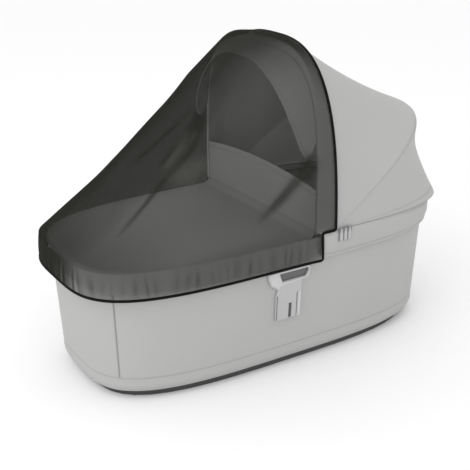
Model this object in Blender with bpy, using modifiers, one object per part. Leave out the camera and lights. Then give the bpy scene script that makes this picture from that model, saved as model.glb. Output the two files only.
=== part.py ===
"""A mosquito net fitted over a stroller carrycot: a sheer net stretched from the hood to the
foot end, with a gathered skirt and an elastic binding, on a plain tapered carrycot.

Metres, +Z up. The carrycot stands on the floor at z = 0, centred on the origin, with its foot
end at -X, its head end at +X and its two long sides at -Y (near) and +Y (far).
"""

from collections import namedtuple
from math import atan2, cos, pi, radians, sin

import bmesh
import bpy
import numpy as np

Arch = namedtuple("Arch", "foot_x slope half_width height power")
Fold = namedtuple("Fold", "start end depth half_width")
Outline = namedtuple("Outline", "half_length half_width power")

# Plan outlines, each a superellipse: the basket's rim, the net's crease and the hood's hem
RIM = Outline(0.3825, 0.1884, 3.45)
NET_RIM = Outline(0.3945, 0.1884, 3.75)
HEM = Outline(0.3976, 0.1884, 3.75)

# Basket: its walls taper from the rim towards the floor
RIM_Z = 0.2573
WALL = 0.008
BASKET_BOTTOM_Z = 0.0124
TAPER_END = 0.0110
TAPER_SIDE = 0.0141
BOTTOM_ROUND = 0.018
BASE_PLATE_TOP_Z = 0.0120
BASE_PLATE_INSET = 0.031

# Apron over the foot half, with its wind flap raised across the mouth of the hood
APRON_THICKNESS = 0.0020
APRON_Z = 0.2594
APRON_GROW = 0.0024
APRON_EDGE_GROW = -0.003
APRON_BOTTOM_Z = 0.2220
APRON_CROWN = 0.005
FLAP_X = 0.0300
FLAP_BEND = 0.016
FLAP_HALF_WIDTH = 0.1895
FLAP_SIDE_Z = 0.3500
FLAP_CROWN = 0.0135

# Hood: three arches whose feet lie on its base line, the rear one leaning far back
HOOD_BASE_Z = 0.2668
HOOD_THICKNESS = 0.0025
SEAM_ARCH = Arch(0.0288, radians(90.0), 0.1949, 0.3205, 3.85)
BOW_ARCH = Arch(0.0708, radians(91.3), 0.1950, 0.3330, 2.92)
REAR_ARCH = Arch(0.0716, radians(35.3), 0.1950, 0.3200, 3.65)
FRONT_SAG = 0.012
REAR_SAG = 0.010
HOOD_HEM_GROW = 0.0052

# Cuff of the hood round the head half of the rim, as (grow, z) points of its closed section
CUFF_START_X = 0.0447
CUFF_SECTION = (
    (0.0018, 0.2127),
    (-0.0008, 0.2131),
    (0.0016, 0.2580),
    (-0.0140, 0.2583),
    (-0.0140, 0.2625),
    (0.0030, 0.2655),
    (0.0062, 0.2645),
    (0.0095, 0.2570),
    (0.0088, 0.2330),
    (0.0050, 0.2160),
)

# Visor: from the hood's front seam to a narrower front edge that dips forward
VISOR_THICKNESS = 0.0025
VISOR_EDGE_POWER = 2.55
VISOR_EDGE_HALF_WIDTH = 0.1915
VISOR_EDGE_NARROWING = 0.0555
VISOR_TIP_Z = 0.4083
VISOR_EDGE_HEIGHT = 0.1602
VISOR_FRONT_X = 0.0342
VISOR_REACH = 0.0505
VISOR_REACH_POWER = 0.156
VISOR_TIP_ANGLE = radians(0.35)
VISOR_SEAM_ANGLE = radians(29.0)
SEAM_GAP = 0.0016

# Net
NET_THICKNESS = 0.0010
NET_STANDOFF = 0.0028
NET_BAND_Z = 0.2700
NET_RIM_Z = 0.2628
NET_RIM_GROW = 0.0050
NET_END_FLARE = 0.0035
NET_END_SHARE = 0.06
RIDGE_ARCH = Arch(0.0320, radians(90.0), 0.1987, 0.3350, 3.5)
# How far the net lies outside the straight way down from its ridge, as (share down, metres): out
# over the middle of the visor's edge, then slack
TENT_PROFILE = (
    (0.0, 0.0),
    (0.13, 0.0085),
    (0.20, -0.0060),
    (0.30, -0.0100),
    (0.45, -0.0085),
    (0.72, -0.0105),
    (1.0, 0.0),
)
TENT_FOLDS = (
    Fold((0.004, -0.196, 0.400), (-0.105, -0.186, 0.305), 0.0050, 0.010),
    Fold((0.004, 0.196, 0.400), (-0.105, 0.186, 0.305), 0.0050, 0.010),
    Fold((-0.085, -0.052, 0.506), (-0.325, -0.100, 0.306), 0.0050, 0.011),
    Fold((-0.085, 0.002, 0.512), (-0.235, 0.031, 0.379), 0.0040, 0.012),
)
SKIRT_END_X = 0.0390
SKIRT_TOP_Z = 0.2616
SKIRT_BOTTOM_Z = 0.2168
SKIRT_BOTTOM_GROW = 0.0073
PUCKER_DEPTH = 0.0014
PUCKER_COUNT = 42
BINDING_RADIUS = 0.0022
BINDING_OFFSET = 0.0028
BINDING_LIFT = 0.0008

# Side adapters, as (x, z) outlines of a plate that leans with the basket's wall
ADAPTER_THICKNESS = 0.0040
ADAPTER_GAP = 0.0004
ADAPTER_OUTLINE = (
    (-0.0720, 0.2085),
    (-0.0736, 0.2030),
    (-0.0654, 0.1827),
    (-0.0490, 0.1710),
    (-0.0527, 0.1600),
    (-0.0527, 0.1120),
    (-0.0480, 0.1060),
    (-0.0010, 0.1060),
    (0.0033, 0.1110),
    (0.0037, 0.1670),
    (0.0041, 0.1806),
    (0.0145, 0.1820),
    (0.0204, 0.1860),
    (0.0224, 0.1970),
    (0.0212, 0.2085),
)
ADAPTER_LOOP_HOLE = ((-0.0468, 0.2040), (-0.0400, 0.1865), (0.0121, 0.1870), (0.0180, 0.1970), (0.0170, 0.2040))
ADAPTER_SLOT_HOLE = ((-0.0234, 0.1385), (-0.0234, 0.1076), (-0.0164, 0.1076), (-0.0164, 0.1385))

# Ribbed hinge covers on the cuff, where the hood's arches meet
HINGE_X = (0.0785, 0.1116)
HINGE_Z = (0.2440, 0.2690)
HINGE_PLATE_THICKNESS = 0.0012
HINGE_RIB_HEIGHT = 0.0016
HINGE_RIB_WIDTH = 0.0050
HINGE_GAP = 0.0004


def unit_curve(angle, power):
    """The unit superellipse at these polar angles, as (cosine-like, sine-like) values."""
    c = np.cos(angle)
    s = np.sin(angle)
    reach = (np.abs(c) ** power + np.abs(s) ** power) ** (-1 / power)
    return reach * c, reach * s


def stack(x, y, z):
    """Points from coordinates that broadcast together, with the axis last."""
    return np.stack(np.broadcast_arrays(x, y, z), axis=-1)


def plan_angle_at(outline, x):
    """The plan angle where the near side of an outline is at this x. 0 is the middle of the side."""
    s = -x / outline.half_length
    return atan2(s, (1 - abs(s) ** outline.power) ** (1 / outline.power))


def wall_point(angle, z, grow=0.0):
    """A point this far outside the basket's wall, at a plan angle that grows towards the foot."""
    c, s = unit_curve(angle, RIM.power)
    down = (RIM_Z - z) / (RIM_Z - BASKET_BOTTOM_Z)
    x = -(RIM.half_length - TAPER_END * down + grow) * s
    y = -(RIM.half_width - TAPER_SIDE * down + grow) * c
    return stack(x, y, z)


def plan_point(outline, angle, z, grow):
    """A point this far outside a plan outline, at any height."""
    c, s = unit_curve(angle, outline.power)
    return stack(-(outline.half_length + grow) * s, -(outline.half_width + grow) * c, z)


def foot_angles(outline, share, end_x):
    """Plan angles round the foot end, from end_x on the near side to end_x on the far side."""
    start = plan_angle_at(outline, end_x)
    return start + (pi - 2 * start) * share


def head_angles(outline, share, end_x):
    """Plan angles round the head end, from end_x on the near side to end_x on the far side."""
    start = plan_angle_at(outline, end_x)
    return start - (pi + 2 * start) * share


def arch_point(arch, angle, grow=0.0):
    """A point of an arch, from its near foot at angle 0 to its far foot at pi."""
    c, s = unit_curve(angle, arch.power)
    reach = (arch.height + grow) * s
    x = arch.foot_x + reach * cos(arch.slope)
    y = -(arch.half_width + grow) * c
    return stack(x, y, HOOD_BASE_Z + reach * sin(arch.slope))


def between_arches(first, second, sag, angle, along, grow=0.0):
    """A point of the cloth stretched from one arch to the next, sagging inward on its way."""
    start = arch_point(first, angle, grow)
    end = arch_point(second, angle, grow)
    c, s = unit_curve(angle, second.power)
    dip = sag * 4 * along * (1 - along) * s / np.hypot(c, s)
    return start + (end - start) * along - dip[..., None] * stack(0.0, -c, s)


def part_collection():
    """The collection that holds every piece."""
    name = "mosquito_net_on_carrycot"
    found = bpy.data.collections.get(name)
    if found is None:
        found = bpy.data.collections.new(name)
        bpy.context.scene.collection.children.link(found)
    return found


def new_object(name, mesh, shade):
    """Adds a mesh to the part's collection, with its material."""
    mesh.materials.append(shade)
    made = bpy.data.objects.new(name, mesh)
    part_collection().objects.link(made)
    return made


def material(name, colour, roughness):
    """A Principled material of one colour."""
    made = bpy.data.materials.new(name)
    made.use_nodes = True
    shader = made.node_tree.nodes["Principled BSDF"]
    shader.inputs["Base Color"].default_value = (*colour, 1.0)
    shader.inputs["Roughness"].default_value = roughness
    made.diffuse_color = (*colour, 1.0)
    return made


def mesh_from_grid(name, points, wrap=False):
    """An open mesh over rows and columns of points, each row closed on itself if wrap is set."""
    rows, columns = points.shape[:2]
    count = columns if wrap else columns - 1
    faces = []
    for row in range(rows - 1):
        for column in range(count):
            after = (column + 1) % columns
            low = row * columns
            high = low + columns
            faces.append((low + column, low + after, high + after, high + column))
    mesh = bpy.data.meshes.new(name)
    mesh.from_pydata(points.reshape(-1, 3).tolist(), [], faces)
    return mesh


def close_mesh(mesh, loops):
    """Adds a face on each of these loops of points and turns every face outward."""
    work = bmesh.new()
    work.from_mesh(mesh)
    work.verts.ensure_lookup_table()
    for loop in loops:
        work.faces.new([work.verts[index] for index in loop])
    bmesh.ops.recalc_face_normals(work, faces=work.faces)
    work.to_mesh(mesh)
    work.free()


def merge_close(mesh):
    """Joins the points that lie together where a sheet narrows to a corner."""
    work = bmesh.new()
    work.from_mesh(mesh)
    bmesh.ops.remove_doubles(work, verts=work.verts, dist=0.00005)
    work.to_mesh(mesh)
    work.free()


def sheet(name, points, thickness, shade):
    """A sheet of cloth whose middle surface runs through a grid of points."""
    mesh = mesh_from_grid(name, points)
    merge_close(mesh)
    mesh.shade_smooth()
    made = new_object(name, mesh, shade)
    solidify = made.modifiers.new("thickness", "SOLIDIFY")
    solidify.thickness = thickness
    solidify.offset = 0.0


def grid_normals(points):
    """Unit normals of a grid of points, on the side away from the middle of the carrycot."""
    along_rows = np.gradient(points, axis=0)
    along_columns = np.gradient(points, axis=1)
    normals = np.cross(along_columns, along_rows)
    normals /= np.maximum(np.linalg.norm(normals, axis=-1, keepdims=True), 1e-9)
    middle = np.array((0.0, 0.0, 0.2))
    facing = np.sign(((points - middle) * normals).sum(axis=-1).mean())
    return normals * facing


def make_basket(shade):
    """The hollow tapered tub: rings down its wall and round its lower edge, then its floor."""
    angles = np.linspace(0, 2 * pi, 64, endpoint=False)
    rings = [wall_point(angles, z) for z in np.linspace(RIM_Z, BASKET_BOTTOM_Z + BOTTOM_ROUND, 4)]
    for turn in np.linspace(0, pi / 2, 6)[1:]:
        z = BASKET_BOTTOM_Z + BOTTOM_ROUND * (1 - sin(turn))
        rings.append(wall_point(angles, z, grow=-BOTTOM_ROUND * (1 - cos(turn))))
    mesh = mesh_from_grid("basket", np.array(rings), wrap=True)
    last = len(mesh.vertices)
    close_mesh(mesh, [range(last - len(angles), last)])
    mesh.shade_smooth()
    made = new_object("basket", mesh, shade)
    solidify = made.modifiers.new("wall", "SOLIDIFY")
    solidify.thickness = WALL
    solidify.offset = -1.0


def flat_plate(name, outlines, thickness, shade):
    """A flat plate in its own XY plane, with the first outline as its edge and the rest as holes."""
    curve = bpy.data.curves.new(name, "CURVE")
    curve.dimensions = "2D"
    curve.fill_mode = "BOTH"
    curve.extrude = thickness / 2
    for outline in outlines:
        spline = curve.splines.new("POLY")
        spline.points.add(len(outline) - 1)
        for point, (x, y) in zip(spline.points, outline):
            point.co = (x, y, 0.0, 1.0)
        spline.use_cyclic_u = True
    curve.materials.append(shade)
    made = bpy.data.objects.new(name, curve)
    part_collection().objects.link(made)
    return made


def make_base_plate(shade):
    """The inset plate that the carrycot stands on."""
    angles = np.linspace(0, 2 * pi, 64, endpoint=False)
    outline = plan_point(RIM, angles, 0.0, -BASE_PLATE_INSET)[:, :2].tolist()
    flat_plate("base_plate", [outline], BASE_PLATE_TOP_Z, shade).location.z = BASE_PLATE_TOP_Z / 2


def make_apron(shade):
    """The cover: its raised flap, the bend at the flap's foot, its top and its turned-down border."""
    share = np.linspace(0, 1, 33)
    y = -FLAP_HALF_WIDTH * (1 - 2 * share)
    top_z = FLAP_SIDE_Z + FLAP_CROWN * (1 - (y / FLAP_HALF_WIDTH) ** 2)
    foot_z = APRON_Z + FLAP_BEND
    rows = [stack(FLAP_X, y, foot_z + (top_z - foot_z) * up) for up in (1.0, 0.5)]
    for turn in np.linspace(pi / 2, 0, 4):
        x = FLAP_X - FLAP_BEND * (1 - sin(turn))
        rows.append(stack(x, y, APRON_Z + FLAP_BEND * (1 - cos(turn))))
    angles = foot_angles(RIM, share, FLAP_X - FLAP_BEND)
    back = rows[-1]
    edge = plan_point(RIM, angles, APRON_Z, APRON_EDGE_GROW)
    for across in np.linspace(0, 1, 8)[1:]:
        crown = APRON_CROWN * sin(pi * across) * np.sin(pi * share)
        rows.append(back + (edge - back) * across + stack(0.0, 0.0, crown))
    corner_z = (APRON_Z + RIM_Z) / 2 + APRON_THICKNESS / 4
    rows.append(plan_point(RIM, angles, corner_z, APRON_GROW * 0.6))
    for z in np.linspace(RIM_Z, APRON_BOTTOM_Z, 3):
        rows.append(wall_point(angles, z, grow=APRON_GROW))
    sheet("apron", np.array(rows), APRON_THICKNESS, shade)


def make_hood(shade):
    """The hood's cloth: from its front seam over the bow to the rear arch, then down to the rim."""
    share = np.linspace(0, 1, 41)
    angles = pi * share
    inward = -HOOD_THICKNESS / 2
    rows = [
        between_arches(SEAM_ARCH, BOW_ARCH, 0.0, angles, along, inward) for along in (0.0, 0.5, 1.0)
    ]
    rows += [
        between_arches(BOW_ARCH, REAR_ARCH, FRONT_SAG, angles, along, inward)
        for along in np.linspace(0, 1, 7)[1:]
    ]
    back = rows[-1]
    rim = plan_point(HEM, head_angles(HEM, share, REAR_ARCH.foot_x), HOOD_BASE_Z, HOOD_HEM_GROW)
    rim[[0, -1]] = back[[0, -1]]
    c, s = unit_curve(angles, REAR_ARCH.power)
    outward = stack(s, -0.4 * c, 0.0)
    for down in np.linspace(0, 1, 7)[1:]:
        sag = REAR_SAG * 4 * down * (1 - down) * s
        rows.append(back + (rim - back) * down - outward * sag[:, None])
    sheet("hood", np.array(rows), HOOD_THICKNESS, shade)


def visor_edge(angle):
    """The visor's front edge, from its near tip at angle 0 to its far tip at pi."""
    c, s = unit_curve(angle, VISOR_EDGE_POWER)
    x = VISOR_FRONT_X - VISOR_REACH * s**VISOR_REACH_POWER
    y = -(VISOR_EDGE_HALF_WIDTH - VISOR_THICKNESS / 2 - VISOR_EDGE_NARROWING * s) * c
    return stack(x, y, VISOR_TIP_Z + VISOR_EDGE_HEIGHT * s)


def make_visor(shade):
    """The crescent in front of the hood, its two tips cut on a slant."""
    share = np.linspace(0, 1, 37)
    front = visor_edge(VISOR_TIP_ANGLE + (pi - 2 * VISOR_TIP_ANGLE) * share)
    seam_angles = VISOR_SEAM_ANGLE + (pi - 2 * VISOR_SEAM_ANGLE) * share
    seam = arch_point(SEAM_ARCH, seam_angles, -VISOR_THICKNESS / 2) - (SEAM_GAP, 0, 0)
    rows = [seam + (front - seam) * forward for forward in np.linspace(0, 1, 5)]
    sheet("visor", np.array(rows), VISOR_THICKNESS, shade)


def make_cuff(shade):
    """The band round the head half of the rim: one closed section carried along the rim."""
    angles = head_angles(RIM, np.linspace(0, 1, 45), CUFF_START_X)
    rings = [plan_point(RIM, angles, z, grow) for grow, z in CUFF_SECTION]
    points = np.array(rings).transpose(1, 0, 2)
    mesh = mesh_from_grid("hood_cuff", points, wrap=True)
    size = len(CUFF_SECTION)
    last = len(mesh.vertices)
    close_mesh(mesh, [range(size), range(last - size, last)])
    mesh.shade_smooth()
    new_object("hood_cuff", mesh, shade)


def fold_dents(points):
    """How far the net's folds press its points inward."""
    dents = np.zeros(points.shape[:-1])
    for fold in TENT_FOLDS:
        start = np.array(fold.start)
        way = np.array(fold.end) - start
        share = np.clip((points - start) @ way / (way @ way), 0, 1)
        distance = np.linalg.norm(points - start - share[..., None] * way, axis=-1)
        fade = np.sin(pi * share) ** 0.6
        dents += fold.depth * fade * np.exp(-((distance / fold.half_width) ** 2))
    return dents


def net_rim_grow(share):
    """How far outside the rim the net's crease lies, a little more towards the hood's feet."""
    to_end = np.clip(1 - np.minimum(share, 1 - share) / NET_END_SHARE, 0, 1)
    return NET_RIM_GROW + NET_END_FLARE * to_end**2


def make_net_panel(shade):
    """The net's one sheet: over the hood's bow, forward to its ridge, then stretched to the rim."""
    share = np.linspace(0, 1, 49)
    start = atan2(NET_BAND_Z - HOOD_BASE_Z, BOW_ARCH.height)
    angles = start + (pi - 2 * start) * share
    back = arch_point(BOW_ARCH, angles, NET_STANDOFF)
    ridge = arch_point(RIDGE_ARCH, angles)
    plan = foot_angles(NET_RIM, share, SKIRT_END_X)
    rim = plan_point(NET_RIM, plan, NET_RIM_Z, net_rim_grow(share))
    down = np.linspace(0, 1, 20)
    tent = ridge + (rim - ridge) * down[:, None, None]
    c, s = unit_curve(angles, RIDGE_ARCH.power)
    profile = np.interp(down, *np.array(TENT_PROFILE).T)[:, None]
    offset = profile * np.where(profile > 0, (1 - c**2) ** 8, s)
    tent = tent + grid_normals(tent) * (offset - fold_dents(tent))[..., None]
    rows = np.concatenate([[back, (back + ridge) / 2], tent])
    sheet("net_panel", rows, NET_THICKNESS, shade)


def pucker_wave(share):
    """The skirt's gathers: fine waves that swell and fade round the rim, none at its two ends."""
    swell = 0.55 + 0.45 * np.sin(2 * pi * (3.3 * share + 0.15)) * np.sin(2 * pi * (1.7 * share + 0.4))
    ends = np.clip(np.minimum(share, 1 - share) / 0.02, 0, 1)
    return np.sin(2 * pi * PUCKER_COUNT * (share + 0.004 * np.sin(2 * pi * 5 * share))) * swell * ends


def make_net_skirt(shade):
    """The gathered band outside the rim, its puckers deepest near its lower edge."""
    share = np.linspace(0, 1, 5 * PUCKER_COUNT + 1)
    plan = foot_angles(NET_RIM, share, SKIRT_END_X)
    rows = []
    for down in np.linspace(0, 1, 4):
        z = SKIRT_TOP_Z + (SKIRT_BOTTOM_Z - SKIRT_TOP_Z) * down
        flare = net_rim_grow(share) + (SKIRT_BOTTOM_GROW - NET_RIM_GROW) * down
        depth = PUCKER_DEPTH * sin(pi * (0.15 + 0.55 * down))
        rows.append(plan_point(NET_RIM, plan, z, flare + depth * pucker_wave(share)))
    sheet("net_skirt", np.array(rows), NET_THICKNESS, shade)


def binding_route():
    """The binding's closed route: under the skirt, up its ends, along the step and over the hood."""
    end_x = SKIRT_END_X + BINDING_OFFSET
    step_z = NET_BAND_Z - BINDING_OFFSET
    low_z = SKIRT_BOTTOM_Z - BINDING_OFFSET
    share = np.linspace(0, 1, 85)
    plan = foot_angles(NET_RIM, share, end_x)
    flare = net_rim_grow(share) + SKIRT_BOTTOM_GROW - NET_RIM_GROW
    skirt = plan_point(NET_RIM, plan, low_z, flare)
    start = atan2(step_z - HOOD_BASE_Z, BOW_ARCH.height)
    angles = start + (pi - 2 * start) * np.linspace(0, 1, 47)
    arch = arch_point(BOW_ARCH, angles, NET_STANDOFF + BINDING_LIFT) + (BINDING_OFFSET, 0, 0)
    near_step = np.array([(end_x, arch[0, 1], step_z)])
    return np.concatenate([skirt[::-1], near_step, arch, near_step * (1, -1, 1)])


def make_net_binding(shade):
    """One elastic binding round the net's whole edge."""
    curve = bpy.data.curves.new("net_binding", "CURVE")
    curve.dimensions = "3D"
    curve.bevel_depth = BINDING_RADIUS
    curve.bevel_resolution = 1
    spline = curve.splines.new("POLY")
    route = binding_route()
    spline.points.add(len(route) - 1)
    for point, (x, y, z) in zip(spline.points, route.tolist()):
        point.co = (x, y, z, 1.0)
    spline.use_cyclic_u = True
    curve.materials.append(shade)
    part_collection().objects.link(bpy.data.objects.new("net_binding", curve))


def box(name, low, high, side, shade):
    """A box between two corners, mirrored across the carrycot where side is -1."""
    corners = [(x, side * y, z) for x in (low[0], high[0]) for y in (low[1], high[1]) for z in (low[2], high[2])]
    faces = [(0, 1, 3, 2), (4, 6, 7, 5), (0, 4, 5, 1), (2, 3, 7, 6), (0, 2, 6, 4), (1, 5, 7, 3)]
    mesh = bpy.data.meshes.new(name)
    mesh.from_pydata(corners, [], faces)
    close_mesh(mesh, [])
    return new_object(name, mesh, shade)


def join_helper(made, helper):
    """Joins a helper solid to a piece and hides the helper."""
    union = made.modifiers.new(helper.name, "BOOLEAN")
    union.operation = "UNION"
    union.solver = "EXACT"
    union.object = helper
    helper.hide_render = True
    helper.display_type = "WIRE"


def make_hinge(name, side, shade):
    """A thin cover on the cuff with three upright ribs."""
    low_y = RIM.half_width + max(grow for grow, z in CUFF_SECTION) + HINGE_GAP
    top_y = low_y + HINGE_PLATE_THICKNESS
    made = box(name, (HINGE_X[0], low_y, HINGE_Z[0]), (HINGE_X[1], top_y, HINGE_Z[1]), side, shade)
    for number, x in enumerate(np.linspace(HINGE_X[0] + 0.004, HINGE_X[1] - 0.004 - HINGE_RIB_WIDTH, 3)):
        low = (x, low_y + 0.0004, HINGE_Z[0] + 0.002)
        high = (x + HINGE_RIB_WIDTH, top_y + HINGE_RIB_HEIGHT, HINGE_Z[1] - 0.002)
        join_helper(made, box(f"{name}_rib_{number}", low, high, side, shade))


def make_adapter(name, side, shade):
    """The loop and plate that click on a stroller's frame, leaning with the basket's wall."""
    outlines = [ADAPTER_OUTLINE, ADAPTER_LOOP_HOLE, ADAPTER_SLOT_HOLE]
    made = flat_plate(name, outlines, ADAPTER_THICKNESS, shade)
    lean = atan2(TAPER_SIDE, RIM_Z - BASKET_BOTTOM_Z)
    made.rotation_euler = (pi / 2 - side * lean, 0, 0)
    wall_foot = RIM.half_width - TAPER_SIDE * RIM_Z / (RIM_Z - BASKET_BOTTOM_Z)
    made.location.y = side * (wall_foot + (ADAPTER_GAP + ADAPTER_THICKNESS / 2) / cos(lean))


def main():
    for old in list(bpy.data.objects):
        bpy.data.objects.remove(old, do_unlink=True)
    cloth = material("carrycot_cloth", (0.62, 0.62, 0.61), 0.85)
    plastic = material("carrycot_plastic", (0.66, 0.66, 0.66), 0.5)
    base = material("base_plastic", (0.10, 0.10, 0.10), 0.6)
    mesh_net = material("net_mesh", (0.035, 0.035, 0.033), 0.9)
    elastic = material("net_elastic", (0.012, 0.012, 0.012), 0.8)
    make_basket(cloth)
    make_base_plate(base)
    make_apron(cloth)
    make_hood(cloth)
    make_visor(cloth)
    make_cuff(cloth)
    make_hinge("hinge_near", -1, plastic)
    make_hinge("hinge_far", 1, plastic)
    make_adapter("adapter_near", -1, plastic)
    make_adapter("adapter_far", 1, plastic)
    make_net_panel(mesh_net)
    make_net_skirt(mesh_net)
    make_net_binding(elastic)


if __name__ == "__main__":
    main()
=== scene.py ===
"""A dark mosquito net fitted over a light grey stroller carrycot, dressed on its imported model.

Metres, +Z up. The foot end is at -X, the head end at +X, the near side at -Y and the far side at
+Y. Every surface is worked out on a grid of rows and columns of points.
"""

from collections import namedtuple
from math import atan2, cos, pi, radians, sin

import bmesh
import bpy
import numpy as np
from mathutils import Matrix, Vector


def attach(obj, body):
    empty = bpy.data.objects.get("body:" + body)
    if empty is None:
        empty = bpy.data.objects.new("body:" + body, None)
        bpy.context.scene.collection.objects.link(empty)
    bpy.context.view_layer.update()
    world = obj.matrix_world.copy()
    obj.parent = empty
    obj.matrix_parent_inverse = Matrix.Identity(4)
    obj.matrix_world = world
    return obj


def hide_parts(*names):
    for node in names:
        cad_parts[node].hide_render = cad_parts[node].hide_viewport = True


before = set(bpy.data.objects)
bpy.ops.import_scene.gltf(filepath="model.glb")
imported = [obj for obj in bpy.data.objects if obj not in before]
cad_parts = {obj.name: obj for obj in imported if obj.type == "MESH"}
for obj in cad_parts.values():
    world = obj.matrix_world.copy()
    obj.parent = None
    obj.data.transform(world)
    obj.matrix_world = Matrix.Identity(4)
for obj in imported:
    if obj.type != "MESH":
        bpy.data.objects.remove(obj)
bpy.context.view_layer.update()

bl_info = {
    "name": "Mosquito net on a stroller carrycot",
    "version": (1, 0, 0),
    "blender": (4, 5, 0),
    "location": "View3D > Sidebar > Carrycot net",
    "description": "Builds a sheer mosquito net and the carrycot that it is stretched over",
    "category": "Add Mesh",
}

Arch = namedtuple("Arch", "foot_x slope half_width height power")
Outline = namedtuple("Outline", "half_length half_width power")
Streak = namedtuple("Streak", "path width start depth dark light", defaults=(0.0, 0.0, 0.0))

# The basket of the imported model, with its upright seams, its sewn band and the piping below it
RIM = Outline(0.3825, 0.1884, 3.45)
RIM_Z = 0.2573
BASKET_BOTTOM_Z = 0.0124
BOTTOM_ROUND = 0.018
TAPER_END = 0.0110
TAPER_SIDE = 0.0141
WALL = 0.008
CORNER_SEAM_X = -0.3505
BAND_Z = 0.0465
BAND_PIPING_Z = 0.0325
BASKET_THREADS = 900.0

# The apron with its raised flap
APRON_THICKNESS = 0.0020
APRON_Z = 0.2594
APRON_BOTTOM_Z = 0.2165
APRON_CROWN = 0.005
FLAP_X = 0.0300
FLAP_BEND = 0.016
FLAP_HALF_WIDTH = 0.1895
FLAP_SIDE_Z = 0.3500
FLAP_CROWN = 0.0135

# The hood: its hem, the arches that its cloth runs between, and how far the cloth sags
HEM = Outline(0.3976, 0.1884, 3.75)
HEM_GROW = 0.0052
HOOD_BASE_Z = 0.2668
HOOD_THICKNESS = 0.0025
SEAM_ARCH = Arch(0.0288, radians(90.0), 0.1949, 0.3205, 3.85)
BOW_ARCH = Arch(0.0708, radians(91.3), 0.1950, 0.3330, 2.92)
REAR_ARCH = Arch(0.0716, radians(35.3), 0.1950, 0.3200, 3.65)
HOOD_TOP_SAG = 0.012
HOOD_BACK_SAG = 0.013
HOOD_SHOULDER_SAG = 0.007
HOOD_CREASE = 0.0016
HOOD_THREADS = 1000.0
PIPING_THREADS = 1400.0

# The visor's front edge, and the angles on the arches where its two edges end
VISOR_THICKNESS = 0.0025
VISOR_POWER = 2.55
VISOR_FOOT_X = 0.0342
VISOR_FOOT_Z = 0.4083
VISOR_REACH = 0.0505
VISOR_RISE = 0.1602
VISOR_HALF_WIDTH = 0.1915
VISOR_NARROWING = 0.0555
VISOR_TIP = radians(0.35)
VISOR_SEAM_TIP = radians(29.0)

# The cuff's section from its lower inner edge round, as (distance outside the rim, height)
CUFF_END_X = 0.0447
CUFF_ROUND = 0.011
CUFF_SECTION = (
    (0.0018, 0.2127),
    (-0.0008, 0.2131),
    (0.0016, 0.2580),
    (-0.0140, 0.2583),
    (-0.0140, 0.2625),
    (0.0030, 0.2655),
    (0.0062, 0.2645),
    (0.0095, 0.2570),
    (0.0088, 0.2330),
    (0.0050, 0.2160),
    (0.0018, 0.2127),
)

# The hinge covers, outside the cuff
HINGE_START_X = 0.0785
HINGE_END_X = 0.1079
HINGE_BOTTOM_Z = 0.2440
HINGE_HEIGHT = 0.0250
HINGE_STANDOFF = 0.0111
RIB_SPACING = 0.0098
RIB_HEIGHT = 0.0015

# The net: its ridge over the hood, its crease at the rim, its skirt and its binding
RIDGE_ARCH = Arch(0.0320, radians(90.0), 0.1987, 0.3362, 3.5)
NET_RIM = Outline(0.3945, 0.1884, 3.75)
NET_RIM_Z = 0.2628
NET_BAND_Z = 0.2700
NET_STANDOFF = 0.0028
NET_SLACK = 0.0009
CREASE_GROW = 0.0050
CREASE_GROW_AT_END = 0.0035
SKIRT_END_X = 0.0390
SKIRT_BOTTOM_Z = 0.2152
SKIRT_FLARE = 0.0023
SKIRT_BELLY = 0.0010
BINDING_Z = 0.2140
BINDING_OUT = 0.0028

# How far the net lies outside the straight way down from its ridge, as (share down, metres)
TENT_PROFILE = (
    (0.0, 0.0),
    (0.13, 0.0065),
    (0.22, -0.0010),
    (0.32, -0.0055),
    (0.45, -0.0080),
    (0.72, -0.0105),
    (1.0, 0.0),
)

# Folds of the net: the places each runs through, its half width, the share of its way in which it
# begins, how deep it presses the net in, and how much painted shade darkens and painted highlight lightens
# the mesh along it
SIDE_STREAKS = (
    Streak(
        ((0.021, -0.193, 0.422), (-0.001, -0.194, 0.392), (-0.039, -0.188, 0.353), (-0.0960, -0.186, 0.311)),
        width=0.0130, start=0.20, dark=1.2,
    ),
    Streak(((0.015, -0.194, 0.405), (0.006, -0.194, 0.370)), width=0.0140, start=0.25, dark=0.8),
    Streak(((-0.012, -0.196, 0.380), (-0.105, -0.186, 0.303)), width=0.0080, start=0.15, depth=0.0035),
)
MIDDLE_STREAKS = (
    Streak(
        ((-0.110, -0.053, 0.481), (-0.168, -0.084, 0.429), (-0.225, -0.085, 0.384), (-0.325, -0.102, 0.305)),
        width=0.0085, start=0.30, depth=0.0030, dark=1.5,
    ),
    Streak(
        ((-0.085, 0.000, 0.512), (-0.169, 0.019, 0.434), (-0.250, 0.034, 0.366)),
        width=0.0125, start=0.45, depth=0.0025, dark=0.7,
    ),
    Streak(
        ((-0.135, -0.038, 0.461), (-0.177, -0.056, 0.425), (-0.212, -0.064, 0.398)),
        width=0.0100, start=0.40, depth=-0.0012, light=0.65,
    ),
    Streak(((-0.226, -0.104, 0.380), (-0.150, -0.124, 0.422)), width=0.0260, start=0.40, light=0.60),
    Streak(((-0.010, 0.020, 0.580), (-0.090, 0.005, 0.500)), width=0.0250, start=0.30, dark=0.3),
)

# All folds: those of the near side, each followed by its mirror on the far side, then the others
STREAKS = tuple(
    streak._replace(path=tuple((x, side * y, z) for x, y, z in streak.path))
    for streak in SIDE_STREAKS
    for side in (1, -1)
) + MIDDLE_STREAKS


def oblong(left, bottom, right, top):
    """The four corners of an upright oblong."""
    return ((left, top), (left, bottom), (right, bottom), (right, top))


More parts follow.
